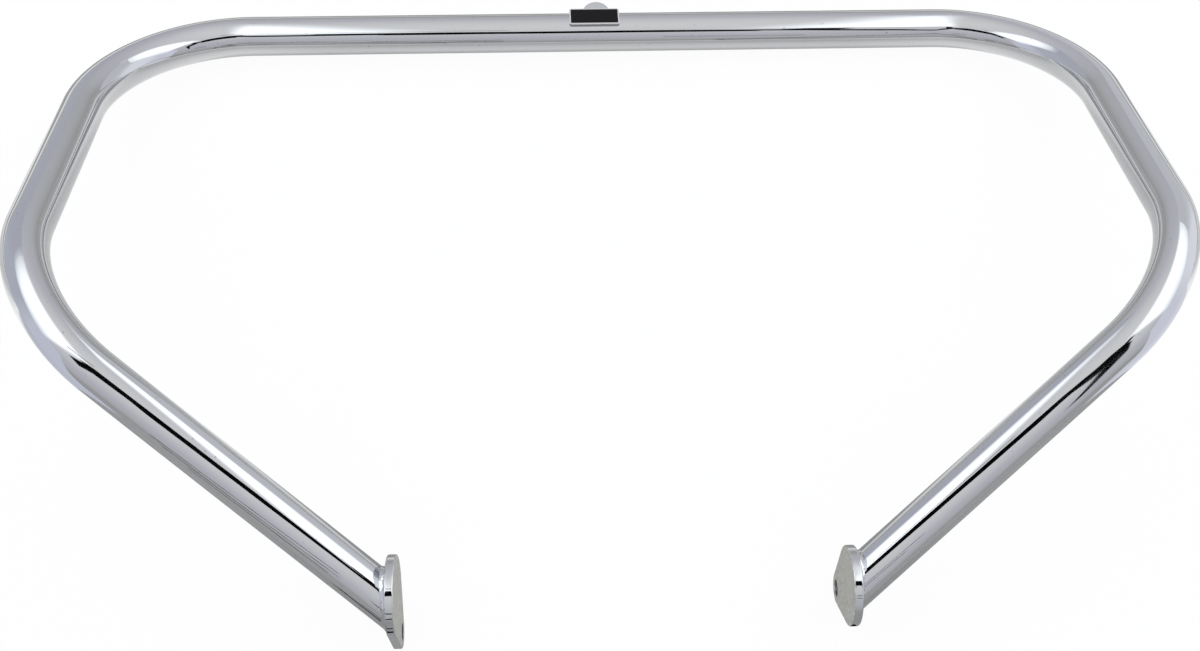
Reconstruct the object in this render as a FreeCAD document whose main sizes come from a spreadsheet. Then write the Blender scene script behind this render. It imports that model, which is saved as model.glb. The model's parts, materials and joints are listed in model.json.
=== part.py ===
import FreeCAD, Part
import math
import os

import Sketcher

Vector = FreeCAD.Vector

# The bar lies as it does on a table: +X to its right, +Y towards the top tube, +Z up.
# The origin is the centre of the tab's bolt hole, on the face that bears on the vehicle's frame.
# Lengths are millimetres and angles are degrees.
SIZES = [
    ("tube_diameter", "31.75", "outside of the bent tube"),
    ("tube_wall", "3.05", "wall of the bent tube"),
    ("bend_radius", "114.3", "centre line radius of all four bends"),
    ("half_width", "400", "middle of the bar to the axis of a side run"),
    ("side_length", "342", "side run, between the corners of its centre line"),
    ("side_rise", "24.4", "slope of the side runs above the tab's face"),
    ("leg_bend", "69.5", "turn of the lower bend"),
    ("plane_turn", "37.1", "turn of the lower bend's plane about the side run"),
    ("drain_diameter", "5", "plating drain hole on the underside of a leg"),
    ("drain_distance", "48", "flange to drain hole, along the leg"),
    ("flange_gap", "304.8", "between the mounting faces of the two flanges"),
    ("flange_thickness", "6.35", "flange plate"),
    ("boss_radius", "27.5", "round end of the flange, behind the leg"),
    ("boss_offset", "7", "leg axis to the middle of the round end, away from the bolt hole"),
    ("ear_radius", "11.5", "round end of the flange, about its bolt hole"),
    ("ear_hole", "12", "bolt hole of the flange"),
    ("left_ear_reach", "33.48", "leg axis to bolt hole on the left flange"),
    ("right_ear_reach", "31.80", "leg axis to bolt hole on the right flange"),
    ("left_ear_lean", "-22.3", "lean of the left ear from straight down, towards +Y"),
    ("right_ear_lean", "13.1", "lean of the right ear from straight down, towards +Y"),
    ("flange_edge", "1.2", "rounding of the flange's rim"),
    ("weld_leg", "3.2", "mean width of the weld on the flange, around the leg"),
    ("weld_height", "5.5", "height of the weld on the leg"),
    ("weld_shift", "1.3", "how much more weld lies in the sharp corner of leg and flange"),
    ("tab_thickness", "4.76", "mounting tab"),
    ("tab_width", "23", "mounting tab, and twice the radius of its round end"),
    ("tab_reach", "33.4", "top tube's axis to the tab's bolt hole"),
    ("tab_foot", "3.5", "how far the tab goes past the top tube's axis"),
    ("tab_hole", "7", "bolt hole of the tab"),
    ("tab_edge", "0.8", "rounding of the tab's free edge"),
    ("tab_weld_offset", "6.3", "top tube's axis to the upper weld bead of the tab"),
    ("tab_weld_radius", "1.7", "weld bead of the tab"),
    ("tab_weld_inset", "1.5", "end of a weld bead to the tab's side"),
    ("badge_length", "41.5", "badge, along the top tube"),
    ("badge_width", "20", "badge, across the top tube"),
    ("badge_thickness", "0.8", "badge plate"),
    ("badge_corner", "2", "corner radius of the badge"),
    ("badge_border", "1", "bare rim around the badge's field"),
    ("badge_offset", "-3", "middle of the bar to the middle of the badge"),
    ("badge_tilt", "14.4", "turn of the badge about the top tube, from straight up towards +Y"),
    ("recess_depth", "0.35", "recess of the badge's field"),
    ("inlay_thickness", "0.25", "inlay in the recess"),
    ("inlay_clearance", "0.1", "gap around the inlay"),
    ("adhesive_length", "38", "adhesive under the badge, along the top tube"),
    ("adhesive_width", "12", "adhesive under the badge, across the top tube"),
    ("adhesive_thickness", "0.3", "adhesive at its thinnest, over the crown of the tube"),
]

# Places that follow from the sizes.
LAYOUT = [
    ("tube_radius", "=Sizes.tube_diameter / 2"),
    ("axis_height", "=Sizes.tab_thickness + tube_radius"),
    ("lower_setback", "=Sizes.bend_radius * tan(Sizes.leg_bend / 2)"),
    ("side_end", "=Sizes.side_length - lower_setback"),
    ("flange_inner", "=Sizes.flange_gap / 2"),
    ("flange_outer", "=flange_inner + Sizes.flange_thickness"),
    ("leg_across", "=sin(Sizes.leg_bend) * cos(Sizes.plane_turn)"),
    ("leg_along", "=cos(Sizes.leg_bend)"),
    ("leg_down", "=sin(Sizes.leg_bend) * sin(Sizes.plane_turn)"),
    ("leg_length", "=(Sizes.half_width - flange_outer) / leg_across"),
    ("near_run", "=Sizes.side_length + leg_length * leg_along"),
    ("near_drop", "=leg_length * leg_down"),
    ("near_reach", "=near_run * cos(Sizes.side_rise) + near_drop * sin(Sizes.side_rise)"),
    ("leg_end_y", "=-Sizes.tab_reach - near_reach"),
    ("leg_end_z", "=axis_height + near_run * sin(Sizes.side_rise) - near_drop * cos(Sizes.side_rise)"),
    ("slope_y", "=-leg_along * cos(Sizes.side_rise) - leg_down * sin(Sizes.side_rise)"),
    ("slope_z", "=leg_along * sin(Sizes.side_rise) - leg_down * cos(Sizes.side_rise)"),
    ("leg_lean", "=atan2(slope_y; -slope_z)"),
    ("badge_seat", "=tube_radius + Sizes.adhesive_thickness"),
]

doc = FreeCAD.newDocument("crash_bar")


def fill_sheet(name, rows):
    sheet = doc.addObject("Spreadsheet::Sheet", name)
    for number, (alias, value, *note) in enumerate(rows, start=1):
        sheet.set(f"A{number}", alias)
        sheet.set(f"B{number}", value)
        sheet.setAlias(f"B{number}", alias)
        sheet.set(f"C{number}", "".join(note))
    doc.recompute()
    return sheet


sizes = fill_sheet("Sizes", SIZES)
layout = fill_sheet("Layout", LAYOUT)


def bind(target, formulas):
    for property_name, formula in formulas.items():
        target.setExpression(property_name, formula)
    return target


def add(kind, name, formulas):
    return bind(doc.addObject(kind, name), formulas)


def add_boolean(kind, name, base, tool):
    result = doc.addObject(kind, name)
    result.Base = base
    result.Tool = tool
    return result


def hold(sketch, formula, *constraint):
    """Adds a constraint, and ties its size to a formula where one is given."""
    number = sketch.addConstraint(Sketcher.Constraint(*constraint))
    if formula:
        sketch.setExpression(f"Constraints[{number}]", formula)


def line(x1, y1, x2, y2):
    return Part.LineSegment(Vector(x1, y1, 0), Vector(x2, y2, 0))


def arc(x, y, radius, start, end):
    circle = Part.Circle(Vector(x, y, 0), Vector(0, 0, 1), radius)
    return Part.ArcOfCircle(circle, math.radians(start), math.radians(end))


def body_sketch(body, name):
    sketch = body.newObject("Sketcher::SketchObject", name)
    planes = [plane for plane in body.Origin.OriginFeatures if plane.Role == "XY_Plane"]
    sketch.AttachmentSupport = (planes[0], [""])
    sketch.MapMode = "FlatFace"
    return sketch


def add_pad(body, sketch, name, length):
    pad = body.newObject("PartDesign::Pad", name)
    pad.Profile = sketch
    pad.setExpression("Length", length)
    doc.recompute()
    return pad


# Two levels closer than this are one level, in millimetres.
TOUCHING = 1e-6


def round_edges(body, base, name, radius, chosen):
    """Rounds the edges of the base feature that the chosen test picks."""
    rounding = body.newObject("PartDesign::Fillet", name)
    names = [f"Edge{number}" for number, edge in enumerate(base.Shape.Edges, start=1) if chosen(edge)]
    rounding.Base = (base, names)
    rounding.setExpression("Radius", radius)
    doc.recompute()
    return rounding


# Tube path: top tube, upper bends and side runs in one sloping plane.
ORIGIN = -1
X_AXIS = -1
Y_AXIS = -2
START = 1
END = 2
CENTRE = 3


def make_frame_path():
    width = sizes.get("half_width")
    radius = sizes.get("bend_radius")
    side_end = layout.get("side_end")
    path = add("Sketcher::SketchObject", "frame_path", {
        "Placement": "placement(vector(0; -Sizes.tab_reach; Layout.axis_height);"
                     " rotation(vector(1; 0; 0); -Sizes.side_rise * 1 deg))",
    })
    left, left_bend, top, right_bend, right = path.addGeometry([
        line(-width, -side_end, -width, -radius),
        arc(radius - width, -radius, radius, 90, 180),
        line(radius - width, 0, width - radius, 0),
        arc(width - radius, -radius, radius, 0, 90),
        line(width, -radius, width, -side_end),
    ])
    hold(path, None, "Tangent", left, END, left_bend, END)
    hold(path, None, "Tangent", left_bend, START, top, START)
    hold(path, None, "Tangent", top, END, right_bend, END)
    hold(path, None, "Tangent", right_bend, START, right, START)
    hold(path, None, "Vertical", left)
    hold(path, None, "Horizontal", top)
    hold(path, None, "PointOnObject", top, START, X_AXIS)
    hold(path, None, "Symmetric", left, START, right, END, Y_AXIS)
    hold(path, None, "Equal", left_bend, right_bend)
    hold(path, "Sizes.bend_radius", "Radius", right_bend, radius)
    hold(path, "Sizes.half_width", "DistanceX", ORIGIN, START, right, END, width)
    hold(path, "Layout.side_end", "DistanceY", right, END, ORIGIN, START, side_end)
    return path


def make_leg_path(name, across_frame, turn):
    """Lower bend and leg, drawn in a plane that is turned about the side run."""
    radius = sizes.get("bend_radius")
    bend = sizes.get("leg_bend")
    side_end = layout.get("side_end")
    run = layout.get("leg_length") - layout.get("lower_setback") + sizes.get("tube_diameter")
    across = math.sin(math.radians(bend))
    along = math.cos(math.radians(bend))
    start_x = radius * (1 - along)
    start_y = -side_end - radius * across
    path = add("Sketcher::SketchObject", name, {
        "Placement": f"frame_path.Placement * placement(vector({across_frame}; 0; 0);"
                     f" rotation(vector(0; 1; 0); ({turn}) * 1 deg))",
    })
    lower_bend, leg = path.addGeometry([
        arc(radius, -side_end, radius, 180, 180 + bend),
        line(start_x, start_y, start_x + run * across, start_y - run * along),
    ])
    hold(path, None, "PointOnObject", lower_bend, START, Y_AXIS)
    hold(path, None, "Horizontal", lower_bend, START, lower_bend, CENTRE)
    hold(path, None, "Tangent", lower_bend, END, leg, START)
    hold(path, "Sizes.bend_radius", "Radius", lower_bend, radius)
    hold(path, "Layout.side_end", "DistanceY", lower_bend, START, ORIGIN, START, side_end)
    hold(path, "(Sizes.leg_bend - 90) * 1 deg", "Angle", leg, math.radians(bend - 90))
    hold(path, "Layout.leg_length - Layout.lower_setback + Sizes.tube_diameter", "Distance", leg, run)
    return path


frame_path = make_frame_path()
leg_paths = {
    "left": make_leg_path("left_leg_path", "-Sizes.half_width", "Sizes.plane_turn"),
    "right": make_leg_path("right_leg_path", "Sizes.half_width", "180 - Sizes.plane_turn"),
}
tube_path = doc.addObject("Part::Compound", "tube_path")
tube_path.Links = [leg_paths["left"], frame_path, leg_paths["right"]]


def sweep_round(name, radius):
    section = add("Part::Circle", f"{name}_section", {
        "Radius": radius,
        "Placement": "placement(vector(0; -Sizes.tab_reach; Layout.axis_height);"
                     " rotation(vector(0; 1; 0); 90 deg))",
    })
    swept = doc.addObject("Part::Sweep", name)
    swept.Sections = [section]
    swept.Spine = (tube_path, [])
    swept.Solid = True
    return swept


def moved(x, y, z):
    return f"placement(vector({x}; {y}; {z}); rotation(vector(0; 0; 1); 0))"


def on_leg(side, distance):
    """Place on a leg's axis, at a distance before its flange."""
    reach = f"(Layout.leg_length - ({distance}))"
    across = f"{reach} * sin(Sizes.leg_bend)"
    along = f"-Sizes.side_length - {reach} * Layout.leg_along"
    return f"{side}_leg_path.Placement * {moved(across, along, 0)}"


# Bent tube: one length, hollow, its ends cut flat where the flanges close them.
tube_outside = sweep_round("tube_outside", "Layout.tube_radius")
tube_inside = sweep_round("tube_inside", "Layout.tube_radius - Sizes.tube_wall")
pipe = add_boolean("Part::Cut", "pipe", tube_outside, tube_inside)
END_ROOM = "3 * Sizes.tube_diameter"
leg_ends = add("Part::Box", "leg_ends", {
    "Length": "2 * Layout.flange_outer",
    "Width": f"2 * {END_ROOM}",
    "Height": f"2 * {END_ROOM}",
    "Placement.Base.x": "-Layout.flange_outer",
    "Placement.Base.y": f"Layout.leg_end_y - {END_ROOM}",
    "Placement.Base.z": f"Layout.leg_end_z - {END_ROOM}",
})
trimmed_pipe = add_boolean("Part::Cut", "trimmed_pipe", pipe, leg_ends)
DRAIN_TURN = {"left": "180 deg", "right": "0 deg"}
drains = doc.addObject("Part::Compound", "drains")
drains.Links = [
    add("Part::Cylinder", f"{side}_drain", {
        "Radius": "Sizes.drain_diameter / 2",
        "Height": "Sizes.tube_diameter",
        "Placement": f"{on_leg(side, 'Sizes.drain_distance')}"
                     f" * placement(vector(0; 0; 0); rotation(vector(1; 0; 0); {DRAIN_TURN[side]}))",
    })
    for side in leg_paths
]
main_tube = add_boolean("Part::Cut", "main_tube", trimmed_pipe, drains)
doc.recompute()


# Flanges: a round boss around the leg, running in straight tangents to an ear with the bolt hole.
FLANGE_SIDE = {"left": -1, "right": 1}
FLANGE_FACING = {
    "left": "rotation(vector(1; 0; -1); 180 deg)",
    "right": "rotation(vector(0; 1; 0); 90 deg)",
}


def on_flange(side, offset, lean):
    """Place where a leg's axis meets its flange: x leans from straight down, z faces outwards."""
    return (
        f"placement(vector({FLANGE_SIDE[side]} * ({offset}); Layout.leg_end_y; Layout.leg_end_z);"
        f" rotation(vector(1; 0; 0); {lean} * 1 deg) * {FLANGE_FACING[side]})"
    )


def make_flange(side):
    boss = sizes.get("boss_radius")
    ear = sizes.get("ear_radius")
    reach = sizes.get("boss_offset") + sizes.get(f"{side}_ear_reach")
    spread = math.degrees(math.acos((boss - ear) / reach))
    across = math.sin(math.radians(spread))
    along = math.cos(math.radians(spread))
    body = add("PartDesign::Body", f"{side}_flange", {
        "Placement": f"{on_flange(side, 'Layout.flange_inner', f'Sizes.{side}_ear_lean')}"
                     f" * {moved('-Sizes.boss_offset', 0, 0)}",
    })
    outline = body_sketch(body, f"{side}_flange_outline")
    boss_arc, ear_arc, upper, lower, hole = outline.addGeometry([
        arc(0, 0, boss, spread, 360 - spread),
        arc(reach, 0, ear, -spread, spread),
        line(boss * along, boss * across, reach + ear * along, ear * across),
        line(reach + ear * along, -ear * across, boss * along, -boss * across),
        Part.Circle(Vector(reach, 0, 0), Vector(0, 0, 1), sizes.get("ear_hole") / 2),
    ])
    hold(outline, None, "Coincident", boss_arc, CENTRE, ORIGIN, START)
    hold(outline, None, "PointOnObject", ear_arc, CENTRE, X_AXIS)
    hold(outline, None, "Tangent", boss_arc, START, upper, START)
    hold(outline, None, "Tangent", upper, END, ear_arc, END)
    hold(outline, None, "Tangent", ear_arc, START, lower, START)
    hold(outline, None, "Tangent", lower, END, boss_arc, END)
    hold(outline, None, "Coincident", hole, CENTRE, ear_arc, CENTRE)
    hold(outline, "Sizes.boss_radius", "Radius", boss_arc, boss)
    hold(outline, "Sizes.ear_radius", "Radius", ear_arc, ear)
    reach_formula = f"Sizes.boss_offset + Sizes.{side}_ear_reach"
    hold(outline, reach_formula, "DistanceX", ORIGIN, START, ear_arc, CENTRE, reach)
    hold(outline, "Sizes.ear_hole", "Diameter", hole, sizes.get("ear_hole"))
    plate = add_pad(body, outline, f"{side}_flange_plate", "Sizes.flange_thickness")

    def on_rim(edge):
        level = edge.BoundBox.ZLength < TOUCHING
        closed = len(edge.Vertexes) == 1
        return level and not closed

    round_edges(body, plate, f"{side}_flange_rim", "Sizes.flange_edge", on_rim)
    return body


# Flange welds: the leg runs into the flange in one hollow blend, all around.
# Each section is a share of the weld's height, and a share of its width on the flange.
WELD_PROFILE = [(0, 1), (0.4, 0.35), (1, -0.1)]


def make_flange_weld(side):
    sections = []
    for number, (height, growth) in enumerate(WELD_PROFILE, start=1):
        rise = f"{height} * Sizes.weld_height"
        along_lean = f"-{rise} * sqrt(1 - Layout.leg_across ^ 2) / Layout.leg_across"
        shift = f"-{max(growth, 0)} * Sizes.weld_shift"
        sections.append(add("Part::Ellipse", f"{side}_weld_section_{number}", {
            "MajorRadius": f"Layout.tube_radius / Layout.leg_across + {growth} * Sizes.weld_leg",
            "MinorRadius": f"Layout.tube_radius + {growth} * Sizes.weld_leg",
            "Placement": f"{on_flange(side, 'Layout.flange_outer', 'Layout.leg_lean')}"
                         f" * {moved(f'{along_lean} + {shift}', 0, rise)}",
        }))
    blend = doc.addObject("Part::Loft", f"{side}_weld_blend")
    blend.Sections = sections
    blend.Solid = True
    return add_boolean("Part::Cut", f"{side}_flange_weld", blend, tube_outside)


flanges = [make_flange(side) for side in leg_paths]
flange_welds = [make_flange_weld(side) for side in leg_paths]


# Mounting tab: a round-ended plate behind the top tube, with a weld bead on each side of the tube.
def make_tab():
    half = sizes.get("tab_width") / 2
    foot = sizes.get("tab_reach") + sizes.get("tab_foot")
    body = doc.addObject("PartDesign::Body", "mounting_tab")
    outline = body_sketch(body, "tab_outline")
    end, left, bottom, right, hole = outline.addGeometry([
        arc(0, 0, half, 0, 180),
        line(-half, 0, -half, -foot),
        line(-half, -foot, half, -foot),
        line(half, -foot, half, 0),
        Part.Circle(Vector(0, 0, 0), Vector(0, 0, 1), sizes.get("tab_hole") / 2),
    ])
    hold(outline, None, "Coincident", end, CENTRE, ORIGIN, START)
    hold(outline, None, "Coincident", hole, CENTRE, ORIGIN, START)
    hold(outline, None, "Tangent", end, END, left, START)
    hold(outline, None, "Coincident", left, END, bottom, START)
    hold(outline, None, "Coincident", bottom, END, right, START)
    hold(outline, None, "Tangent", right, END, end, START)
    hold(outline, None, "Vertical", left)
    hold(outline, None, "Vertical", right)
    hold(outline, None, "Horizontal", bottom)
    hold(outline, "Sizes.tab_width / 2", "Radius", end, half)
    hold(outline, "Sizes.tab_reach + Sizes.tab_foot", "DistanceY", bottom, START, ORIGIN, START, foot)
    hold(outline, "Sizes.tab_hole", "Diameter", hole, sizes.get("tab_hole"))
    plate = add_pad(body, outline, "tab_plate", "Sizes.tab_thickness")

    def on_free_edge(edge):
        box = edge.BoundBox
        top = box.ZMin > sizes.get("tab_thickness") - TOUCHING
        welded = box.YMax < TOUCHING - foot
        closed = len(edge.Vertexes) == 1
        return top and not welded and not closed

    round_edges(body, plate, "tab_rim", "Sizes.tab_edge", on_free_edge)
    return body


def make_tab_weld(name, offset, height, tab):
    rod = add("Part::Cylinder", f"{name}_rod", {
        "Radius": "Sizes.tab_weld_radius",
        "Height": "Sizes.tab_width - 2 * Sizes.tab_weld_inset",
        "Placement": "placement(vector(Sizes.tab_weld_inset - Sizes.tab_width / 2;"
                     f" {offset} - Sizes.tab_reach; {height}); rotation(vector(0; 1; 0); 90 deg))",
    })
    on_tube = add_boolean("Part::Cut", f"{name}_on_tube", rod, tube_outside)
    return add_boolean("Part::Cut", name, on_tube, tab)


mounting_tab = make_tab()
tab_welds = [
    make_tab_weld(
        "upper_tab_weld",
        "Sizes.tab_weld_offset",
        "Sizes.tab_thickness + Sizes.tab_weld_radius / 2",
        mounting_tab,
    ),
    make_tab_weld(
        "lower_tab_weld",
        "-Sizes.tab_foot - Sizes.tab_weld_radius / 2",
        "Sizes.tab_thickness",
        mounting_tab,
    ),
]


# Badge: a thin flat plate with a recessed field, stuck to the crown of the top tube.
BADGE_FRAME = (
    "placement(vector(Sizes.badge_offset; -Sizes.tab_reach; Layout.axis_height);"
    " rotation(vector(1; 0; 0); -Sizes.badge_tilt * 1 deg))"
)


def draw_rounded_rectangle(sketch, length, width, corner):
    """Draws a rounded rectangle about the origin. Each size is a value and its formula."""
    half_x = length[0] / 2
    half_y = width[0] / 2
    radius = corner[0]
    flat_x = half_x - radius
    flat_y = half_y - radius
    top, left, bottom, right, *corners = sketch.addGeometry([
        line(flat_x, half_y, -flat_x, half_y),
        line(-half_x, flat_y, -half_x, -flat_y),
        line(-flat_x, -half_y, flat_x, -half_y),
        line(half_x, -flat_y, half_x, flat_y),
        arc(-flat_x, flat_y, radius, 90, 180),
        arc(-flat_x, -flat_y, radius, 180, 270),
        arc(flat_x, -flat_y, radius, 270, 360),
        arc(flat_x, flat_y, radius, 0, 90),
    ])
    sides = [top, left, bottom, right]
    for number, round_corner in enumerate(corners):
        following = sides[(number + 1) % len(sides)]
        hold(sketch, None, "Tangent", sides[number], END, round_corner, START)
        hold(sketch, None, "Tangent", round_corner, END, following, START)
    for round_corner in corners[1:]:
        hold(sketch, None, "Equal", corners[0], round_corner)
    hold(sketch, None, "Horizontal", top)
    hold(sketch, None, "Vertical", left)
    hold(sketch, None, "Symmetric", corners[0], CENTRE, corners[2], CENTRE, ORIGIN, START)
    hold(sketch, corner[1], "Radius", corners[0], radius)
    hold(sketch, length[1], "DistanceX", left, START, right, END, length[0])
    hold(sketch, width[1], "DistanceY", bottom, START, top, END, width[0])


def inset_size(name, border, formula):
    return sizes.get(name) - 2 * border, f"Sizes.{name} - 2 * ({formula})"


def make_plate(name, inset, inset_formula, thickness, height):
    """A plate of the badge's outline drawn in by an inset, at a height above the top tube's axis."""
    body = add("PartDesign::Body", name, {
        "Placement": f"{BADGE_FRAME} * {moved(0, 0, height)}",
    })
    outline = body_sketch(body, f"{name}_outline")
    length = inset_size("badge_length", inset, inset_formula)
    width = inset_size("badge_width", inset, inset_formula)
    corner = (sizes.get("badge_corner") - inset, f"Sizes.badge_corner - ({inset_formula})")
    draw_rounded_rectangle(outline, length, width, corner)
    add_pad(body, outline, f"{name}_plate", thickness)
    return body


def make_badge():
    body = make_plate("badge_plate", 0, "0", "Sizes.badge_thickness", "Layout.badge_seat")
    field = body_sketch(body, "badge_field")
    field.setExpression("AttachmentOffset.Base.z", "Sizes.badge_thickness")
    border = sizes.get("badge_border")
    length = inset_size("badge_length", border, "Sizes.badge_border")
    width = inset_size("badge_width", border, "Sizes.badge_border")
    corner = (sizes.get("badge_corner") - border, "Sizes.badge_corner - Sizes.badge_border")
    draw_rounded_rectangle(field, length, width, corner)
    recess = body.newObject("PartDesign::Pocket", "badge_recess")
    recess.Profile = field
    recess.setExpression("Length", "Sizes.recess_depth")
    doc.recompute()
    return body


def make_adhesive():
    corner = moved("-Sizes.adhesive_length / 2", "-Sizes.adhesive_width / 2", "Layout.tube_radius / 2")
    block = add("Part::Box", "adhesive_block", {
        "Length": "Sizes.adhesive_length",
        "Width": "Sizes.adhesive_width",
        "Height": "Layout.badge_seat - Layout.tube_radius / 2",
        "Placement": f"{BADGE_FRAME} * {corner}",
    })
    return add_boolean("Part::Cut", "badge_adhesive", block, tube_outside)


badge = make_badge()
badge_inlay = make_plate(
    "badge_inlay",
    sizes.get("badge_border") + sizes.get("inlay_clearance"),
    "Sizes.badge_border + Sizes.inlay_clearance",
    "Sizes.inlay_thickness",
    "Layout.badge_seat + Sizes.badge_thickness - Sizes.recess_depth",
)
adhesive = make_adhesive()
doc.recompute()

# Every object is sound before a piece is written.
for item in doc.Objects:
    if "Invalid" in item.State or "Error" in item.State:
        raise RuntimeError(f"{item.Label} did not compute: {item.State}")

pieces = [main_tube, *flanges, *flange_welds, mounting_tab, *tab_welds, adhesive, badge, badge_inlay]
os.makedirs("parts", exist_ok=True)
for piece in pieces:
    shape = piece.Shape
    if shape.isNull() or not shape.isValid():
        raise RuntimeError(f"{piece.Label} has no valid shape")
    if len(shape.Solids) != 1:
        raise RuntimeError(f"{piece.Label} is {len(shape.Solids)} solids")
for piece in pieces:
    piece.Shape.exportStep(f"parts/{piece.Label}.step")
    box = piece.Shape.BoundBox
    print(f"{piece.Label}: {piece.Shape.Volume:.1f} mm3, z {box.ZMin:.3f} to {box.ZMax:.3f}")
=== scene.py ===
import json
import math

import bpy
from mathutils import Matrix, Vector


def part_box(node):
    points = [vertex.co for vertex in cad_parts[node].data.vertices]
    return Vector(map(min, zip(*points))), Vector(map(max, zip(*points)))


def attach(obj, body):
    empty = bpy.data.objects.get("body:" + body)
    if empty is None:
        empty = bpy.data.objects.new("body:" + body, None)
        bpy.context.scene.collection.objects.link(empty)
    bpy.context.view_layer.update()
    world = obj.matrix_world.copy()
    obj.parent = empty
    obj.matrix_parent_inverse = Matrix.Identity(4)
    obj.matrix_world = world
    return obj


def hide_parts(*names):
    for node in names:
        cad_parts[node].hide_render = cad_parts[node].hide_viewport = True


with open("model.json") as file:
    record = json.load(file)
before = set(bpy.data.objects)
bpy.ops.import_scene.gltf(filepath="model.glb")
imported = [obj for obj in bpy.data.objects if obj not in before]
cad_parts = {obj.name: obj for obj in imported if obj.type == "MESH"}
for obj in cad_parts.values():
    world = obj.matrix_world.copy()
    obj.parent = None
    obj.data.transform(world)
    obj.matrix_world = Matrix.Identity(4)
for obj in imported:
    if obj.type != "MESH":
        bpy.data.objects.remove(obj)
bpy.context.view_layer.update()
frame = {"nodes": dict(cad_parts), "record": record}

# Sizes of the bar, in metres and degrees. Everything else about it is read from the frame.
TUBE_DIAMETER = 0.03175
TUBE_WALL = 0.00305
BEND_RADIUS = 0.1143
SIDE_LENGTH = 0.342
SIDE_RISE = 24.4
DRAIN_DIAMETER = 0.005
DRAIN_DISTANCE = 0.048

# How finely the tube's mesh is drawn, and the angle in degrees past which an edge of it is sharp.
POINTS_AROUND = 96
POINTS_IN_BEND = 40
POINTS_AROUND_DRAIN = 32
SHARP_ANGLE = 30

# The photograph's frame and its viewpoint.
PHOTO_WIDTH = 1200
PHOTO_FOCAL = 1435.5
PHOTO_AXIS_X = 640.0
PHOTO_MIDDLE_X = 599.5
SENSOR_WIDTH = 36.0
CAMERA_PLACE = Vector((-0.0429, -0.7857, 1.0027))
CAMERA_AZIMUTH = -7.86
CAMERA_ELEVATION = 63.92
CAMERA_ROLL = 5.67

MILLIMETRE = 0.001

# A Mix node's sockets share their names, so they are reached by number.
MIX_FACTOR = 0
MIX_FIRST_VECTOR = 4
MIX_SECOND_VECTOR = 5
MIX_VECTOR_RESULT = 1
MIX_FIRST_COLOUR = 6
MIX_SECOND_COLOUR = 7
MIX_COLOUR_RESULT = 2


def linear(hex_colour):
    """Linear colour, with an alpha of 1, from an sRGB hex value."""
    channels = [int(hex_colour[start:start + 2], 16) / 255 for start in (1, 3, 5)]
    return [c / 12.92 if c <= 0.04045 else ((c + 0.055) / 1.055) ** 2.4 for c in channels] + [1.0]


def add_node(tree, kind, settings=None, links=None, stops=None, **values):
    """Adds a node: settings are its properties, links go to its inputs, and values set its inputs.

    Stops are the places and colours of its ramp, where it has one.
    """
    node = tree.nodes.new(kind)
    for name, value in (settings or {}).items():
        setattr(node, name, value)
    for name, value in values.items():
        node.inputs[name.replace("_", " ")].default_value = value
    for name, source in (links or {}).items():
        tree.links.new(source, node.inputs[name])
    for place, _ in (stops or [])[2:]:
        node.color_ramp.elements.new(place)
    for number, (place, colour) in enumerate(stops or []):
        node.color_ramp.elements[number].position = place
        node.color_ramp.elements[number].color = linear(colour)
    return node


def mount_place(name):
    """Where the record puts this mount."""
    found = [mount for mount in frame["record"]["mounts"] if mount["name"] == name]
    return Vector(found[0]["pos_m"])


# Materials


def new_material(name):
    """An empty node material, and its tree."""
    material = bpy.data.materials.new(name)
    material.use_nodes = True
    material.node_tree.nodes.clear()
    return material, material.node_tree


def polish_bump(tree, place, across, along, depth, normal=None):
    """Slight waves left by polishing, with these sizes in metres, along the third axis of the place."""
    stretched = add_node(
        tree, "ShaderNodeMapping", {"vector_type": "TEXTURE"}, {"Vector": place},
        Scale=(across, across, along),
    )
    waves = add_node(
        tree, "ShaderNodeTexNoise", links={"Vector": stretched.outputs["Vector"]}, Scale=1.0, Detail=1.5,
    )
    links = {"Height": waves.outputs["Fac"]}
    if normal is not None:
        links["Normal"] = normal
    return add_node(tree, "ShaderNodeBump", links=links, Strength=1.0, Distance=depth).outputs["Normal"]


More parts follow.
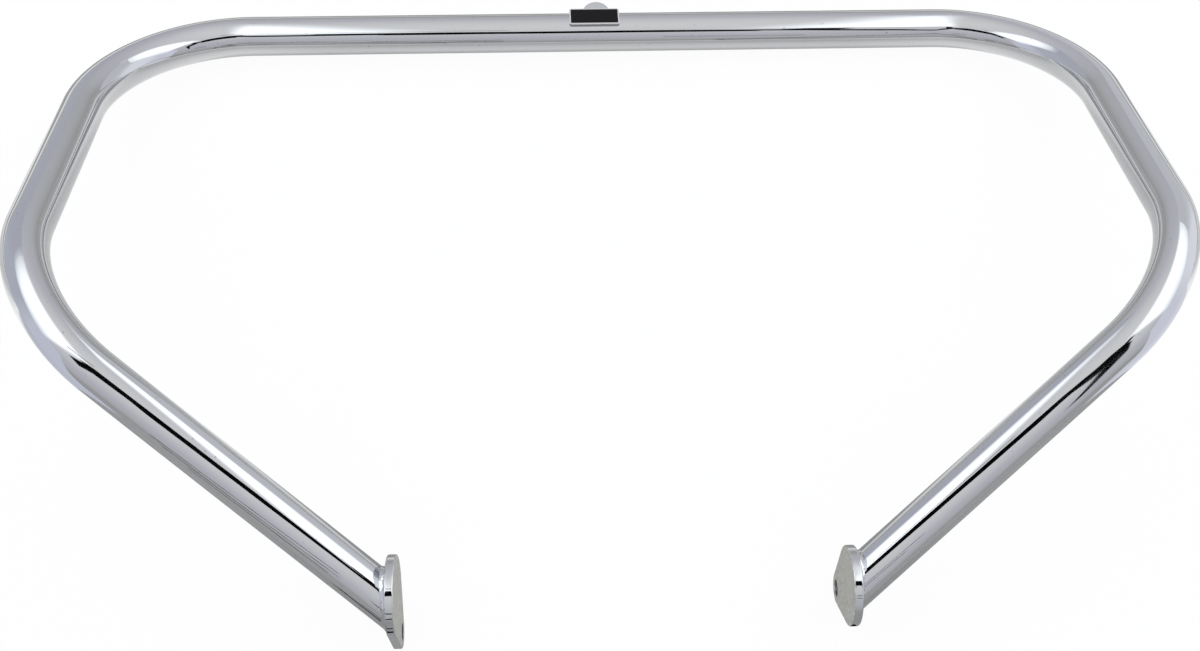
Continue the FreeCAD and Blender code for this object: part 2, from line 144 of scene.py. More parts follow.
def chrome_shader(tree, place, normal, ground=None):
    """Bright chrome: a clear mirror, cloudier where hands wiped it, with a few fine dark specks.

    It is duller and warmer where ground is 1.
    """
    wiped = add_node(
        tree, "ShaderNodeTexNoise", links={"Vector": place},
        Scale=1 / (45 * MILLIMETRE), Detail=5.0, Roughness=0.65,
    )
    roughness = add_node(
        tree, "ShaderNodeMapRange", links={"Value": wiped.outputs["Fac"]},
        From_Min=0.42, From_Max=0.72, To_Min=0.02, To_Max=0.08,
    )
    # Real specks are under half a millimetre, and are drawn coarser so that they show.
    specks = add_node(
        tree, "ShaderNodeTexNoise", links={"Vector": place}, Scale=1 / (2.4 * MILLIMETRE), Detail=1.0,
    )
    colour = add_node(
        tree, "ShaderNodeValToRGB", links={"Fac": specks.outputs["Fac"]},
        stops=[(0.0, "#8A8A8E"), (0.2, "#A9A9AC"), (0.27, "#C6C7C9")],
    )
    tone = colour.outputs["Color"]
    blur = roughness.outputs["Result"]
    if ground is not None:
        # Grinding leaves patches a few millimetres wide, with a roughness of about one half.
        mottle = add_node(
            tree, "ShaderNodeTexNoise", links={"Vector": place}, Scale=1 / (3 * MILLIMETRE), Detail=3.0,
        )
        dull = add_node(
            tree, "ShaderNodeValToRGB", links={"Fac": mottle.outputs["Fac"]},
            stops=[(0.3, "#D3D2C8"), (0.7, "#E8E7E1")],
        )
        tone = add_node(
            tree, "ShaderNodeMix", {"data_type": "RGBA"},
            {MIX_FACTOR: ground, MIX_FIRST_COLOUR: tone, MIX_SECOND_COLOUR: dull.outputs["Color"]},
        ).outputs[MIX_COLOUR_RESULT]
        blur = add_node(
            tree, "ShaderNodeMath", {"operation": "MULTIPLY_ADD"},
            {0: ground, 1: mottle.outputs["Fac"], 2: blur},
        ).outputs["Value"]
    shader = add_node(
        tree, "ShaderNodeBsdfPrincipled",
        links={"Base Color": tone, "Roughness": blur, "Normal": normal},
        Metallic=1.0,
    )
    add_node(tree, "ShaderNodeOutputMaterial", links={"Surface": shader.outputs["BSDF"]})


def chrome_plated_tube():
    """Chrome over drawn and bent tube: long faint waves, and fine polish lines that run along it."""
    material, tree = new_material("chrome_plated_tube")
    place = add_node(tree, "ShaderNodeAttribute", {"attribute_name": "straightened"}).outputs["Vector"]
    waves = polish_bump(tree, place, 14 * MILLIMETRE, 60 * MILLIMETRE, 0.05 * MILLIMETRE)
    # Real polish lines are finer than a tenth of a millimetre, and are drawn coarser so that they show.
    lines = polish_bump(tree, place, 1.3 * MILLIMETRE, 160 * MILLIMETRE, 0.006 * MILLIMETRE, waves)
    chrome_shader(tree, place, lines)
    return material


def chrome_plated_plate():
    """Chrome over ground plate: flatter than the tube, with a faint uneven surface."""
    material, tree = new_material("chrome_plated_plate")
    place = add_node(tree, "ShaderNodeTexCoord").outputs["Object"]
    chrome_shader(tree, place, polish_bump(tree, place, 9 * MILLIMETRE, 9 * MILLIMETRE, 0.12 * MILLIMETRE))
    return material


def chrome_plated_flange():
    """Chrome over plate with a polished rim. The mounting face was only ground: it is dull and mottled."""
    material, tree = new_material("chrome_plated_flange")
    place = add_node(tree, "ShaderNodeTexCoord").outputs["Object"]
    across = add_node(tree, "ShaderNodeSeparateXYZ", links={"Vector": place}).outputs["X"]
    from_middle = add_node(tree, "ShaderNodeMath", {"operation": "ABSOLUTE"}, {0: across})
    face = mount_place("right_flange_face").x
    ground = add_node(
        tree, "ShaderNodeMapRange", links={"Value": from_middle.outputs["Value"]},
        From_Min=face + 0.2 * MILLIMETRE, From_Max=face + 0.8 * MILLIMETRE, To_Min=1.0, To_Max=0.0,
    ).outputs["Result"]
    normal = polish_bump(tree, place, 9 * MILLIMETRE, 9 * MILLIMETRE, 0.12 * MILLIMETRE)
    # Real grinding marks are finer than a fifth of a millimetre, and are drawn coarser so that they show.
    grit = polish_bump(tree, place, 1.6 * MILLIMETRE, 1.6 * MILLIMETRE, 0.03 * MILLIMETRE, normal)
    mixed = add_node(
        tree, "ShaderNodeMix", {"data_type": "VECTOR"},
        {MIX_FACTOR: ground, MIX_FIRST_VECTOR: normal, MIX_SECOND_VECTOR: grit},
    )
    chrome_shader(tree, place, mixed.outputs[MIX_VECTOR_RESULT], ground)
    return material


def chrome_plated_weld():
    """Chrome over a dressed weld: ripples and dips that break up the reflections."""
    material, tree = new_material("chrome_plated_weld")
    place = add_node(tree, "ShaderNodeTexCoord").outputs["Object"]
    dips = polish_bump(tree, place, 6 * MILLIMETRE, 6 * MILLIMETRE, 0.9 * MILLIMETRE)
    ripples = polish_bump(tree, place, 2.2 * MILLIMETRE, 2.2 * MILLIMETRE, 0.25 * MILLIMETRE, dips)
    chrome_shader(tree, place, ripples)
    return material


def polished_aluminium():
    """The badge's rim: brighter than the chrome, with a fine satin grain."""
    material, tree = new_material("polished_aluminium")
    place = add_node(tree, "ShaderNodeTexCoord").outputs["Object"]
    grain = add_node(
        tree, "ShaderNodeTexNoise", links={"Vector": place},
        Scale=1 / (0.5 * MILLIMETRE), Detail=2.0,
    )
    roughness = add_node(
        tree, "ShaderNodeMapRange", links={"Value": grain.outputs["Fac"]},
        From_Min=0.3, From_Max=0.7, To_Min=0.18, To_Max=0.3,
    )
    shader = add_node(
        tree, "ShaderNodeBsdfPrincipled", links={"Roughness": roughness.outputs["Result"]},
        Base_Color=linear("#EDEDEC"), Metallic=1.0,
    )
    add_node(tree, "ShaderNodeOutputMaterial", links={"Surface": shader.outputs["BSDF"]})
    return material


def black_enamel():
    """The badge's field: a deep black fill with little gloss and a faint orange-peel surface."""
    material, tree = new_material("black_enamel")
    place = add_node(tree, "ShaderNodeTexCoord").outputs["Object"]
    peel = add_node(
        tree, "ShaderNodeTexNoise", links={"Vector": place},
        Scale=1 / (1.5 * MILLIMETRE), Detail=2.0,
    )
    bump = add_node(
        tree, "ShaderNodeBump", links={"Height": peel.outputs["Fac"]},
        Strength=0.05, Distance=0.1 * MILLIMETRE,
    )
    shader = add_node(
        tree, "ShaderNodeBsdfPrincipled", links={"Normal": bump.outputs["Normal"]},
        Base_Color=linear("#060607"), Roughness=0.35, IOR=1.5, Specular_IOR_Level=0.12,
    )
    add_node(tree, "ShaderNodeOutputMaterial", links={"Surface": shader.outputs["BSDF"]})
    return material


def acrylic_foam_tape():
    """The badge's adhesive: dull dark grey foam with fine open cells."""
    material, tree = new_material("acrylic_foam_tape")
    place = add_node(tree, "ShaderNodeTexCoord").outputs["Object"]
    cells = add_node(
        tree, "ShaderNodeTexNoise", links={"Vector": place},
        Scale=1 / (0.4 * MILLIMETRE), Detail=3.0,
    )
    colour = add_node(
        tree, "ShaderNodeValToRGB", links={"Fac": cells.outputs["Fac"]},
        stops=[(0.0, "#1B1B1C"), (1.0, "#343436")],
    )
    shader = add_node(
        tree, "ShaderNodeBsdfPrincipled", links={"Base Color": colour.outputs["Color"]},
        Roughness=0.85, IOR=1.48,
    )
    add_node(tree, "ShaderNodeOutputMaterial", links={"Surface": shader.outputs["BSDF"]})
    return material


# The bent tube


def tube_corners():
    """Corners of the tube's centre line, from the left flange round to the right one."""
    radius = TUBE_DIAMETER / 2
    tube_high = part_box("main_tube")[1]
    half_width = tube_high.x - radius
    top_y = tube_high.y - radius
    top_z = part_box("mounting_tab")[1].z + radius
    rise = math.radians(SIDE_RISE)
    flange = mount_place("right_flange_face")
    flange.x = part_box("right_flange")[1].x
    right = [
        Vector((half_width, top_y, top_z)),
        Vector((half_width, top_y - SIDE_LENGTH * math.cos(rise), top_z + SIDE_LENGTH * math.sin(rise))),
        flange,
    ]
    left = [Vector((-corner.x, corner.y, corner.z)) for corner in reversed(right)]
    return left + right


def path_object(name, corners):
    """Straight runs from corner to corner."""
    mesh = bpy.data.meshes.new(name)
    runs = [(number, number + 1) for number in range(len(corners) - 1)]
    mesh.from_pydata(corners, runs, [])
    path = bpy.data.objects.new(name, mesh)
    bpy.context.scene.collection.objects.link(path)
    return path


def drain_holes(corners):
    """Where each leg is drained: a point on its centre line, and the way out through its underside."""
    drains = []
    for leg_end, leg_bend, side_end in (corners[:3], corners[:-4:-1]):
        along = (leg_bend - leg_end).normalized()
        down = along.cross(side_end - leg_bend).normalized()
        if down.z > 0:
            down = -down
        drains.append((leg_end + DRAIN_DISTANCE * along, down))
    return drains


def swept_bar(tree, bent, radius, face):
    """A round bar along the bent path. Each end ring slides along its leg to the plane at this x."""
    ends = add_node(tree, "GeometryNodeCurveEndpointSelection", Start_Size=1, End_Size=1)
    tangent = add_node(tree, "GeometryNodeInputTangent")
    length = add_node(tree, "GeometryNodeSplineParameter")
    kept = tree.nodes.new("GeometryNodeCaptureAttribute")
    for kind, name, source in (
        ("BOOLEAN", "End", ends.outputs["Selection"]),
        ("VECTOR", "Tangent", tangent.outputs["Tangent"]),
        ("FLOAT", "Length", length.outputs["Length"]),
    ):
        kept.capture_items.new(kind, name)
        tree.links.new(source, kept.inputs[name])
    tree.links.new(bent, kept.inputs["Geometry"])
    circle = add_node(
        tree, "GeometryNodeCurvePrimitiveCircle", links={"Radius": radius}, Resolution=POINTS_AROUND,
    )
    section = tree.nodes.new("GeometryNodeCaptureAttribute")
    section.capture_items.new("VECTOR", "Section")
    tree.links.new(circle.outputs["Curve"], section.inputs["Geometry"])
    place = add_node(tree, "GeometryNodeInputPosition").outputs["Position"]
    tree.links.new(place, section.inputs["Section"])
    swept = add_node(
        tree, "GeometryNodeCurveToMesh",
        links={"Curve": kept.outputs["Geometry"], "Profile Curve": section.outputs["Geometry"]},
        Fill_Caps=True,
    )
    place_x = add_node(tree, "ShaderNodeSeparateXYZ", links={"Vector": place}).outputs["X"]
    slope = add_node(tree, "ShaderNodeSeparateXYZ", links={"Vector": kept.outputs["Tangent"]}).outputs["X"]
    side = add_node(tree, "ShaderNodeMath", {"operation": "SIGN"}, {0: place_x}).outputs["Value"]
    plane = add_node(tree, "ShaderNodeMath", {"operation": "MULTIPLY"}, {0: side, 1: face}).outputs["Value"]
    short = add_node(tree, "ShaderNodeMath", {"operation": "SUBTRACT"}, {0: plane, 1: place_x})
    slide = add_node(
        tree, "ShaderNodeMath", {"operation": "DIVIDE"}, {0: short.outputs["Value"], 1: slope},
    )
    offset = add_node(
        tree, "ShaderNodeVectorMath", {"operation": "SCALE"},
        {"Vector": kept.outputs["Tangent"], "Scale": slide.outputs["Value"]},
    )
    cut = add_node(
        tree, "GeometryNodeSetPosition",
        links={
            "Geometry": swept.outputs["Mesh"],
            "Selection": kept.outputs["End"],
            "Offset": offset.outputs["Vector"],
        },
    )
    # The place on the tube as if it were straight, for the polish lines that run along it.
    across = add_node(tree, "ShaderNodeSeparateXYZ", links={"Vector": section.outputs["Section"]}).outputs
    straight = add_node(
        tree, "ShaderNodeCombineXYZ",
        links={"X": across["X"], "Y": across["Y"], "Z": kept.outputs["Length"]},
    )
    named = add_node(
        tree, "GeometryNodeStoreNamedAttribute", {"data_type": "FLOAT_VECTOR", "domain": "POINT"},
        {"Geometry": cut.outputs["Geometry"], "Value": straight.outputs["Vector"]},
        Name="straightened",
    )
    return named.outputs["Geometry"]


def bent_tube(material):
    """One hollow, drained tube along its path, bent at each corner, its ends cut flush with the flanges."""
    corners = tube_corners()
    tree = bpy.data.node_groups.new("bent_tube", "GeometryNodeTree")
    tree.interface.new_socket("Path", in_out="INPUT", socket_type="NodeSocketGeometry")
    sizes = {
        "Tube Radius": TUBE_DIAMETER / 2,
        "Bore Radius": TUBE_DIAMETER / 2 - TUBE_WALL,
        "Bend Radius": BEND_RADIUS,
        "Drain Radius": DRAIN_DIAMETER / 2,
        "Flange Face": corners[-1].x,
        "Bore End": corners[-1].x - TUBE_WALL,
    }
    for name in sizes:
        tree.interface.new_socket(name, in_out="INPUT", socket_type="NodeSocketFloat")
    tree.interface.new_socket("Tube", in_out="OUTPUT", socket_type="NodeSocketGeometry")
    given = add_node(tree, "NodeGroupInput").outputs
    path = add_node(tree, "GeometryNodeMeshToCurve", links={"Mesh": given["Path"]})
    bent = add_node(
        tree, "GeometryNodeFilletCurve", {"mode": "POLY"},
        {"Curve": path.outputs["Curve"], "Radius": given["Bend Radius"]},
        Count=POINTS_IN_BEND,
    ).outputs["Curve"]
    bar = swept_bar(tree, bent, given["Tube Radius"], given["Flange Face"])
    bore = swept_bar(tree, bent, given["Bore Radius"], given["Bore End"])
    hollow = add_node(tree, "GeometryNodeMeshBoolean", {"operation": "DIFFERENCE", "solver": "EXACT"})
    tree.links.new(bar, hollow.inputs["Mesh 1"])
    tree.links.new(bore, hollow.inputs["Mesh 2"])
    for place, down in drain_holes(corners):
        drill = add_node(
            tree, "GeometryNodeMeshCylinder", links={"Radius": given["Drain Radius"]},
            Vertices=POINTS_AROUND_DRAIN, Depth=TUBE_DIAMETER,
        )
        set_in = add_node(
            tree, "GeometryNodeTransform", links={"Geometry": drill.outputs["Mesh"]},
            Translation=place + down * TUBE_DIAMETER / 2, Rotation=down.to_track_quat("Z", "Y").to_euler(),
        )
        tree.links.new(set_in.outputs["Geometry"], hollow.inputs["Mesh 2"])
    smooth = add_node(tree, "GeometryNodeSetShadeSmooth", links={"Geometry": hollow.outputs["Mesh"]})
    angle = add_node(tree, "GeometryNodeInputMeshEdgeAngle")
    rim = add_node(
        tree, "FunctionNodeCompare", {"data_type": "FLOAT", "operation": "GREATER_THAN"},
        {0: angle.outputs["Unsigned Angle"]},
    )
    rim.inputs[1].default_value = math.radians(SHARP_ANGLE)
    rims = add_node(
        tree, "GeometryNodeSetShadeSmooth", {"domain": "EDGE"},
        {"Geometry": smooth.outputs["Geometry"], "Selection": rim.outputs["Result"]},
        Shade_Smooth=False,
    )
    realized = add_node(tree, "GeometryNodeRealizeInstances", links={"Geometry": rims.outputs["Geometry"]})
    coated = add_node(
        tree, "GeometryNodeSetMaterial", links={"Geometry": realized.outputs["Geometry"]},
        Material=material,
    )
    add_node(tree, "NodeGroupOutput", links={"Tube": coated.outputs["Geometry"]})

    path_piece = path_object("tube_path", corners)
    modifier = path_piece.modifiers.new("bent_tube", "NODES")
    modifier.node_group = tree
    for item in tree.interface.items_tree:
        if item.in_out == "INPUT" and item.name in sizes:
            modifier[item.identifier] = sizes[item.name]
    evaluated = path_piece.evaluated_get(bpy.context.evaluated_depsgraph_get())
    mesh = bpy.data.meshes.new_from_object(evaluated)
    mesh.name = "bent_tube"
    bpy.data.objects.remove(path_piece)
    tube = bpy.data.objects.new("bent_tube", mesh)
    bpy.context.scene.collection.objects.link(tube)
    return tube


flange_chrome = chrome_plated_flange()
weld_chrome = chrome_plated_weld()
finishes = {
    "left_flange": flange_chrome,
    "right_flange": flange_chrome,
    "left_flange_weld": weld_chrome,
    "right_flange_weld": weld_chrome,
    "mounting_tab": chrome_plated_plate(),
    "upper_tab_weld": weld_chrome,
    "lower_tab_weld": weld_chrome,
    "badge_plate": polished_aluminium(),
    "badge_inlay": black_enamel(),
    "badge_adhesive": acrylic_foam_tape(),
}
for node_name, finish in finishes.items():
    node_mesh = frame["nodes"][node_name].data
    node_mesh.materials.clear()
    node_mesh.materials.append(finish)

tube = bent_tube(chrome_plated_tube())
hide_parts("main_tube")
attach(tube, "root")


# Studio: a pale floor, two pale walls, two soft boxes over the bar's sides, the dark rig that holds the
# camera, and a painted contact shadow on the floor. The camera sees only the floor, and in it the metal
# sees painted light and shade. The boxes light the bar, and the metal reflects all of them.

FLOOR_HALF_SIZE = 8
FLOOR_NEAR = -0.7
FLOOR_FAR = 0.7
# The painted light and shade that the metal sees in the floor, at places along Y. It is painted bright
# at both ends of the bar's opening and in a band behind the top tube, and painted dark, as shade, under
# that tube and the legs.
FLOOR_PAINTED_LIGHT_AND_SHADE = [
    (-0.7, "#868686"), (-0.6, "#7C7C7C"), (-0.52, "#868686"), (-0.44, "#747474"), (-0.4, "#838383"),
    (-0.37, "#B8B8B8"), (-0.33, "#EFEFEF"), (-0.28, "#D7D7D7"), (-0.22, "#AFAFAF"), (-0.12, "#AFAFAF"),
    (-0.06, "#E0E0E0"), (-0.035, "#818181"), (0.05, "#747474"), (0.1, "#909090"), (0.14, "#E7E7E7"),
    (0.18, "#E7E7E7"), (0.24, "#B1B1B1"), (0.35, "#AAAAAA"), (0.7, "#8D8D8D"),
]
# How much of that painted light and shade the metal sees, and how strongly it glows near the middle and
# out to the sides, as a painted pool of light that is brighter at the sides.
FLOOR_PAINTED_LIGHT_AND_SHADE_SHARE = 0.75
FLOOR_MIDDLE = 0.22
FLOOR_SIDE = 0.36
FLOOR_MIDDLE_STRENGTH = 1.3
FLOOR_SIDE_STRENGTH = 1.75
# The camera sees this much white, and shadow in the rest.
FLOOR_WHITE_SHARE = 0.95
WALL_NEAR = -1.5
WALL_CORNER = 0.9
WALL_FAR = 1.2
WALL_HEIGHT = 1.4
WALL_STRENGTH = 1.2
SOFT_BOX_HEIGHT = 1.2
SOFT_BOX_STRENGTH = 2.2
RIG_HEIGHT = 1.02
RIG_SKIRT_LOW = 0.89
RUNG_HEIGHT = 0.012
# Cloth that lies on the floor.
LAID_HEIGHT = 0.001
# The share of plain white in the room that the metal sees.
ROOM_WHITE_SHARE = 0.2


def stage_sheet(name, outlines, material):
    """Flat sheets with these outlines, part of the stage."""
    corners = [corner for outline in outlines for corner in outline]
    faces = []
    for outline in outlines:
        first = sum(len(face) for face in faces)
        faces.append(range(first, first + len(outline)))
    mesh = bpy.data.meshes.new(name)
    mesh.from_pydata(corners, [], faces)
    mesh.materials.append(material)
    sheet = bpy.data.objects.new(name, mesh)
    bpy.context.scene.collection.objects.link(sheet)
    return sheet


def level(height, outline):
    """This outline, laid flat at a height."""
    return [(x, y, height) for x, y in outline]


def rectangle(low_x, high_x, low_y, high_y):
    """The outline of a rectangle."""
    return [(low_x, low_y), (high_x, low_y), (high_x, high_y), (low_x, high_y)]


def upright(start, end, low, high):
    """A standing sheet over the line from start to end."""
    return [(*start, low), (*end, low), (*end, high), (*start, high)]


def rung(start, end):
    """A narrow strip that stands on a sloping line."""
    rise = Vector((0, 0, RUNG_HEIGHT))
    return [Vector(start), Vector(end), Vector(end) + rise, Vector(start) + rise]


def wall(inner_x, corner_x, side_x):
    """A wall behind the bar that turns round to its side."""
    inner = (inner_x, WALL_FAR)
    corner = (corner_x, WALL_CORNER)
    side = (side_x, WALL_NEAR)
    return [upright(inner, corner, 0, WALL_HEIGHT), upright(corner, side, 0, WALL_HEIGHT)]


def pale_floor():
    """White to the camera, with a faint shadow. The metal sees glowing bands of painted light and shade."""
    material, tree = new_material("pale_floor")
    place = add_node(tree, "ShaderNodeTexCoord").outputs["Object"]
    ray = add_node(tree, "ShaderNodeLightPath").outputs
    paint = add_node(tree, "ShaderNodeBsdfDiffuse", Color=linear("#F2F2F0"))
    axes = add_node(tree, "ShaderNodeSeparateXYZ", links={"Vector": place}).outputs
    depth = add_node(
        tree, "ShaderNodeMapRange", links={"Value": axes["Y"]},
        From_Min=FLOOR_NEAR, From_Max=FLOOR_FAR, To_Min=0.0, To_Max=1.0,
    )
    reach = FLOOR_FAR - FLOOR_NEAR
    # Painted light and shade along Y, dark under the top tube and the legs, which only the metal sees.
    tone = add_node(
        tree, "ShaderNodeValToRGB", links={"Fac": depth.outputs["Result"]},
        stops=[((y - FLOOR_NEAR) / reach, colour) for y, colour in FLOOR_PAINTED_LIGHT_AND_SHADE],
    )
    from_middle = add_node(tree, "ShaderNodeMath", {"operation": "ABSOLUTE"}, {0: axes["X"]})
    # Painted light: the sheet glows more strongly out to the sides.
    strength = add_node(
        tree, "ShaderNodeMapRange", links={"Value": from_middle.outputs["Value"]},
        From_Min=FLOOR_MIDDLE, From_Max=FLOOR_SIDE,
        To_Min=FLOOR_MIDDLE_STRENGTH, To_Max=FLOOR_SIDE_STRENGTH,
    )
    painted_floor_glow = add_node(
        tree, "ShaderNodeEmission",
        links={"Color": tone.outputs["Color"], "Strength": strength.outputs["Result"]},
    )
    white = add_node(tree, "ShaderNodeEmission", Color=linear("#FFFFFF"), Strength=1.0)
    reflected = add_node(
        tree, "ShaderNodeMath", {"operation": "ADD", "use_clamp": True},
        {0: ray["Is Glossy Ray"], 1: ray["Is Transmission Ray"]},
    )
    painted_light_share = add_node(
        tree, "ShaderNodeMath", {"operation": "MULTIPLY"}, {0: reflected.outputs["Value"]},
    )
    painted_light_share.inputs[1].default_value = FLOOR_PAINTED_LIGHT_AND_SHADE_SHARE
    white_share = add_node(tree, "ShaderNodeMath", {"operation": "MULTIPLY"}, {0: ray["Is Camera Ray"]})
    white_share.inputs[1].default_value = FLOOR_WHITE_SHARE
    in_metal = add_node(
        tree, "ShaderNodeMixShader",
        links={
            0: painted_light_share.outputs["Value"],
            1: paint.outputs["BSDF"],
            2: painted_floor_glow.outputs["Emission"],
        },
    )
    seen = add_node(
        tree, "ShaderNodeMixShader",
        links={
            0: white_share.outputs["Value"],
            1: in_metal.outputs["Shader"],
            2: white.outputs["Emission"],
        },
    )
    add_node(tree, "ShaderNodeOutputMaterial", links={"Surface": seen.outputs["Shader"]})
    return material


def pale_wall(far, beside, near):
    """A pale lavender wall that only the metal sees, with its tones far off, beside the bar and nearer."""
    material, tree = new_material("pale_wall")
    place = add_node(tree, "ShaderNodeTexCoord").outputs["Object"]
    axes = add_node(tree, "ShaderNodeSeparateXYZ", links={"Vector": place}).outputs
    depth = add_node(
        tree, "ShaderNodeMapRange", links={"Value": axes["Y"]},
        From_Min=WALL_NEAR, From_Max=WALL_FAR, To_Min=0.0, To_Max=1.0,
    )
    tone = add_node(
        tree, "ShaderNodeValToRGB", links={"Fac": depth.outputs["Result"]},
        stops=[(0.33, near), (0.5, beside), (0.76, beside), (0.93, far)],
    )
    glow = add_node(
        tree, "ShaderNodeEmission", links={"Color": tone.outputs["Color"]}, Strength=WALL_STRENGTH,
    )
    add_node(tree, "ShaderNodeOutputMaterial", links={"Surface": glow.outputs["Emission"]})
    return material


def soft_box_cloth(corner, turn, edges):
    """Lit cloth that fades out over each edge, along axes that start at its inner, nearer corner.

    An edge is given as its axis, its place, and the place where the cloth is fully lit.
    """
    material, tree = new_material("soft_box_cloth")
    place = add_node(tree, "ShaderNodeTexCoord").outputs["Object"]
    turned = add_node(
        tree, "ShaderNodeMapping", {"vector_type": "TEXTURE"}, {"Vector": place},
        Location=(*corner, 0), Rotation=(0, 0, math.radians(turn)),
    )
    axes = add_node(tree, "ShaderNodeSeparateXYZ", links={"Vector": turned.outputs["Vector"]}).outputs
    lit = None
    for axis, edge, full in edges:
        low, high = min(edge, full), max(edge, full)
        fade = add_node(
            tree, "ShaderNodeMapRange", {"interpolation_type": "SMOOTHSTEP"}, {"Value": axes[axis]},
            From_Min=low, From_Max=high, To_Min=float(edge > full), To_Max=float(edge < full),
        )
        if lit is None:
            lit = fade.outputs["Result"]
        else:
            both = add_node(
                tree, "ShaderNodeMath", {"operation": "MULTIPLY"}, {0: lit, 1: fade.outputs["Result"]},
            )
            lit = both.outputs["Value"]
    glow = add_node(tree, "ShaderNodeEmission", Color=linear("#F6FBFF"), Strength=SOFT_BOX_STRENGTH)
    clear = add_node(tree, "ShaderNodeBsdfTransparent")
    faded = add_node(
        tree, "ShaderNodeMixShader", links={0: lit, 1: clear.outputs["BSDF"], 2: glow.outputs["Emission"]},
    )
    add_node(tree, "ShaderNodeOutputMaterial", links={"Surface": faded.outputs["Shader"]})
    return material


def dark_cloth_and_painted_shadow():
    """Matt black cloth, which gives the dark lines in the metal, and a painted contact shadow on the floor.
    """
    material, tree = new_material("dark_cloth_and_painted_shadow")
    cloth = add_node(tree, "ShaderNodeBsdfDiffuse", Color=linear("#0C0C0E"))
    add_node(tree, "ShaderNodeOutputMaterial", links={"Surface": cloth.outputs["BSDF"]})
    return material


floor_outline = rectangle(-FLOOR_HALF_SIZE, FLOOR_HALF_SIZE, -FLOOR_HALF_SIZE, FLOOR_HALF_SIZE)
stage_sheet("floor", [level(0, floor_outline)], pale_floor())
left_cloth = soft_box_cloth(
    (-0.12, -0.64), 12, [("X", 0, -0.24), ("X", -2.0, -0.5), ("Y", 0, 0.2), ("Y", 2.0, 0.8)],
)
left_sheet = level(SOFT_BOX_HEIGHT, rectangle(-2.8, 0, -1.2, 1.7))
left_box = stage_sheet("left_soft_box", [left_sheet], left_cloth)
right_cloth = soft_box_cloth(
    (0.20, -0.66), -10, [("X", 0, 0.24), ("X", 2.0, 0.4), ("Y", 0, 0.2), ("Y", 2.5, 1.1)],
)
right_sheet = level(SOFT_BOX_HEIGHT, rectangle(0.05, 3.2, -1.3, 2.2))
right_box = stage_sheet("right_soft_box", [right_sheet], right_cloth)
rig_body = level(RIG_HEIGHT, [
    (-0.40, -0.79), (0.44, -0.80), (0.44, -0.58), (0.36, -0.58), (0.32, -0.68),
    (0.14, -0.575), (-0.12, -0.575), (-0.20, -0.56), (-0.40, -0.585),
])
rig_skirt = upright((-0.30, -0.78), (0.30, -0.79), RIG_SKIRT_LOW, RIG_HEIGHT)
rig_left_arm = [(-0.28, -0.60, 1.0), (-0.30, -0.79, 1.0), (-0.62, -0.82, 0.84), (-0.62, -0.66, 0.84)]
rig_right_arm = [(0.28, -0.60, 0.95), (0.29, -0.74, 0.95), (0.46, -0.79, 0.72), (0.49, -0.66, 0.72)]
rig_right_pole = [(0.45, -0.76, 0.72), (0.49, -0.69, 0.72), (0.92, -1.30, 0.70), (0.89, -1.32, 0.70)]
rig_rim = level(1.19, rectangle(-0.50, -0.10, -0.485, -0.455))
rig_and_painted_shadow_pieces = [rig_body, rig_skirt, rig_left_arm, rig_right_arm, rig_right_pole, rig_rim]
# The rungs of a low stand in front of the flanges, and dark strips on the floor before it.
for start, end in (
    ((-0.28, -0.865, 0.31), (-0.59, -0.77, 0.146)),
    ((-0.34, -0.89, 0.22), (-0.60, -0.76, 0.07)),
    ((-0.41, -0.895, 0.114), (-0.56, -0.73, 0.01)),
):
    rig_and_painted_shadow_pieces.append(rung(start, end))
rig_and_painted_shadow_pieces += [upright((-0.28, -0.86), (-0.10, -0.86), z, z + 0.022) for z in (0.09, 0.20)]
rig_and_painted_shadow_pieces += [upright((0.12, -0.86), (0.32, -0.86), z, z + 0.014) for z in (0.31, 0.38)]
rig_and_painted_shadow_pieces += [level(LAID_HEIGHT, rectangle(-0.27, -0.155, y, y + 0.02)) for y in (-0.665, -0.612)]
# A dark strip on the floor under the right flange's lower end: a painted contact shadow, which only the
# metal sees.
rig_and_painted_shadow_pieces.append(level(LAID_HEIGHT, rectangle(0.15, 0.166, -0.575, -0.535)))
rig = stage_sheet("camera_rig_and_painted_shadow", rig_and_painted_shadow_pieces, dark_cloth_and_painted_shadow())
# Each wall's cloth goes on over the floor, in front of the bar's side.
left_laid_cloth = level(LAID_HEIGHT, [(-0.43, -0.37), (-0.58, -0.62), (-1.9, -1.5), (-1.9, -0.37)])
right_laid_cloth = level(LAID_HEIGHT, [(0.43, -0.37), (0.58, -0.62), (1.9, -1.5), (1.9, -0.37)])
left_wall = stage_sheet(
    "left_wall", wall(-0.62, -1.6, -1.9) + [left_laid_cloth], pale_wall("#BEC0CA", "#C2C6D3", "#D9DCEA"),
)
right_wall = stage_sheet(
    "right_wall", wall(0.67, 1.6, 1.9) + [right_laid_cloth], pale_wall("#D4D5DB", "#F6F8FF", "#E6E8F4"),
)
for sheet in (left_box, right_box, rig, left_wall, right_wall):
    sheet.visible_camera = False
    sheet.visible_shadow = False
for sheet in (rig, left_wall, right_wall):
    sheet.visible_diffuse = False


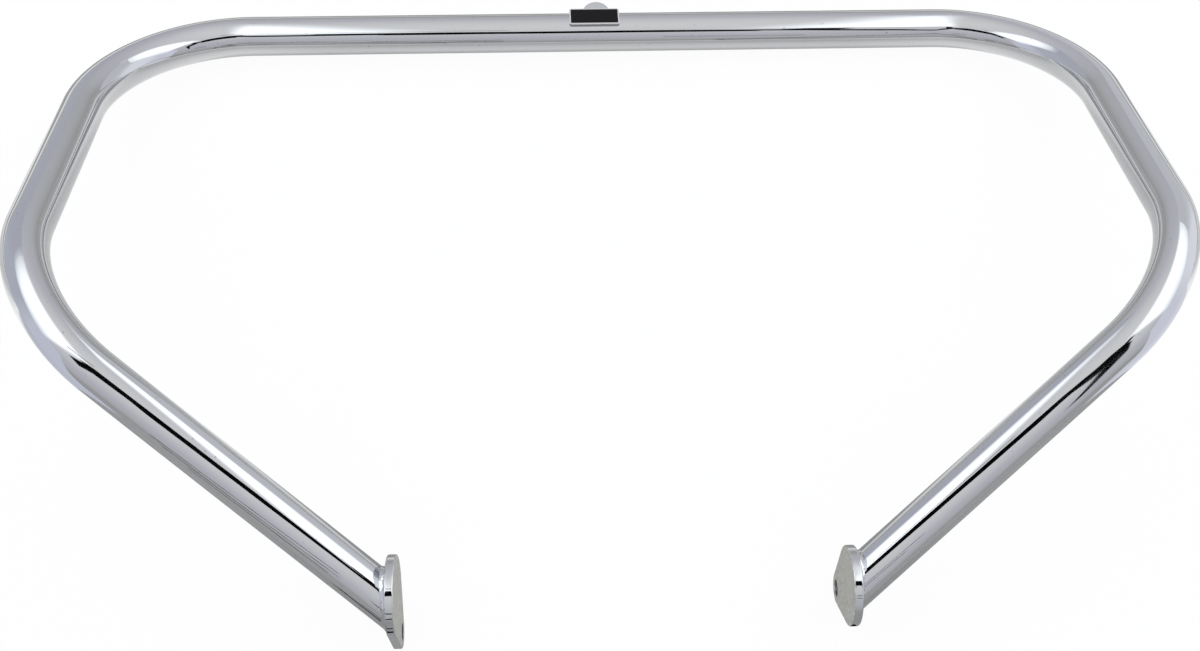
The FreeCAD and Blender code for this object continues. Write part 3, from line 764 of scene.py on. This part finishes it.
def pale_surround():
    """White behind the object. In the metal a grey room, with some of that white in it, paler overhead."""
    world = bpy.data.worlds.new("pale_surround")
    world.use_nodes = True
    tree = world.node_tree
    tree.nodes.clear()
    direction = add_node(tree, "ShaderNodeTexCoord").outputs["Generated"]
    axes = add_node(tree, "ShaderNodeSeparateXYZ", links={"Vector": direction}).outputs
    by_height = add_node(
        tree, "ShaderNodeValToRGB", links={"Fac": axes["Z"]},
        stops=[
            (0.0, "#A2A2A0"), (0.04, "#ADADAC"), (0.1, "#B7B7B9"), (0.24, "#C8C8D0"), (0.3, "#CCCCD6"),
            (0.5, "#D2D2DD"), (0.75, "#E9EAF0"), (1.0, "#FFFFFF"),
        ],
    )
    room = add_node(tree, "ShaderNodeBackground", links={"Color": by_height.outputs["Color"]}, Strength=1.0)
    white = add_node(tree, "ShaderNodeBackground", Color=linear("#FFFFFF"), Strength=1.0)
    ray = add_node(tree, "ShaderNodeLightPath").outputs
    reflected = add_node(
        tree, "ShaderNodeMath", {"operation": "ADD", "use_clamp": True},
        {0: ray["Is Glossy Ray"], 1: ray["Is Transmission Ray"]},
    )
    white_share = add_node(
        tree, "ShaderNodeMath", {"operation": "MULTIPLY_ADD"},
        {0: reflected.outputs["Value"], 2: ray["Is Camera Ray"]},
    )
    white_share.inputs[1].default_value = ROOM_WHITE_SHARE
    mixed = add_node(
        tree, "ShaderNodeMixShader",
        links={
            0: white_share.outputs["Value"],
            1: room.outputs["Background"],
            2: white.outputs["Background"],
        },
    )
    add_node(tree, "ShaderNodeOutputWorld", links={"Surface": mixed.outputs["Shader"]})
    return world


bpy.context.scene.world = pale_surround()


def add_camera():
    """The camera at the photograph's viewpoint, rolled and shifted as the photograph is."""
    azimuth = math.radians(CAMERA_AZIMUTH)
    elevation = math.radians(CAMERA_ELEVATION)
    roll = math.radians(CAMERA_ROLL)
    back = Vector((
        math.sin(azimuth) * math.cos(elevation),
        -math.cos(azimuth) * math.cos(elevation),
        math.sin(elevation),
    ))
    unrolled_right = Vector((math.cos(azimuth), math.sin(azimuth), 0))
    unrolled_up = back.cross(unrolled_right)
    right = math.cos(roll) * unrolled_right + math.sin(roll) * unrolled_up
    up = math.cos(roll) * unrolled_up - math.sin(roll) * unrolled_right
    data = bpy.data.cameras.new("camera")
    data.sensor_width = SENSOR_WIDTH
    data.lens = SENSOR_WIDTH * PHOTO_FOCAL / PHOTO_WIDTH
    data.shift_x = (PHOTO_MIDDLE_X - PHOTO_AXIS_X) / PHOTO_WIDTH
    camera = bpy.data.objects.new("camera", data)
    turn = Matrix((right, up, back)).transposed().to_4x4()
    camera.matrix_world = Matrix.Translation(CAMERA_PLACE) @ turn
    bpy.context.scene.collection.objects.link(camera)
    bpy.context.scene.camera = camera


add_camera()
bpy.context.scene.view_settings.view_transform = "Standard"
